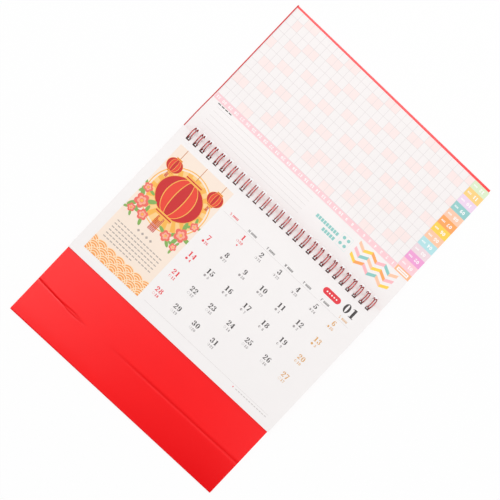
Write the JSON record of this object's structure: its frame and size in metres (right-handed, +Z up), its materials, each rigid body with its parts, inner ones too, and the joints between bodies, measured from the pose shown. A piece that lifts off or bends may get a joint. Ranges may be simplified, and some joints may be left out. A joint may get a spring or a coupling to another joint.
{
  "type": "desk calendar",
  "caption": "Easel desk calendar lying open and flat: folded red board stand, twin-loop wire binding, month pages on the front panel, year planner and red cover turned over the wire.",
  "frame": {"origin": "middle of the footprint of the opened calendar, on the table", "axes": "+Z up, +Y from the foot of the stand to the far edge of the turned cover, +X along the wire binding"},
  "size_m": [0.2528, 0.388, 0.0126],
  "materials": {
    "stand_red": "satin red wrap on hard board",
    "wire_rose": "rose metallic enamel",
    "page_white": "matt coated white, printed",
    "planner_white": "matt coated white, printed",
    "cover_red": "satin red card"
  },
  "bodies": {
    "stand": {"easel_stand": "stand_red", "wire_binding": "wire_rose"},
    "pages": {"month_pages": "page_white"},
    "planner": {"planner_leaf": "planner_white"},
    "cover": {"cover_leaf": "cover_red"}
  },
  "joints": [
    {"name": "cover_turn", "type": "hinge", "parent": "stand", "child": "cover", "pos_m": [0, 0.03848, 0.00635], "axis": [1, 0, 0], "range_deg": [0, 180.4]},
    {"name": "planner_turn", "type": "hinge", "parent": "stand", "child": "planner", "pos_m": [0, 0.03848, 0.00635], "axis": [1, 0, 0], "range_deg": [0, 180.4]},
    {"name": "pages_turn", "type": "hinge", "parent": "stand", "child": "pages", "pos_m": [0, 0.03848, 0.00635], "axis": [-1, 0, 0], "range_deg": [0, 180.4]}
  ],
  "couplings": [
    {"joint": "planner_turn", "follows": "cover_turn", "ratio": 1}
  ]
}
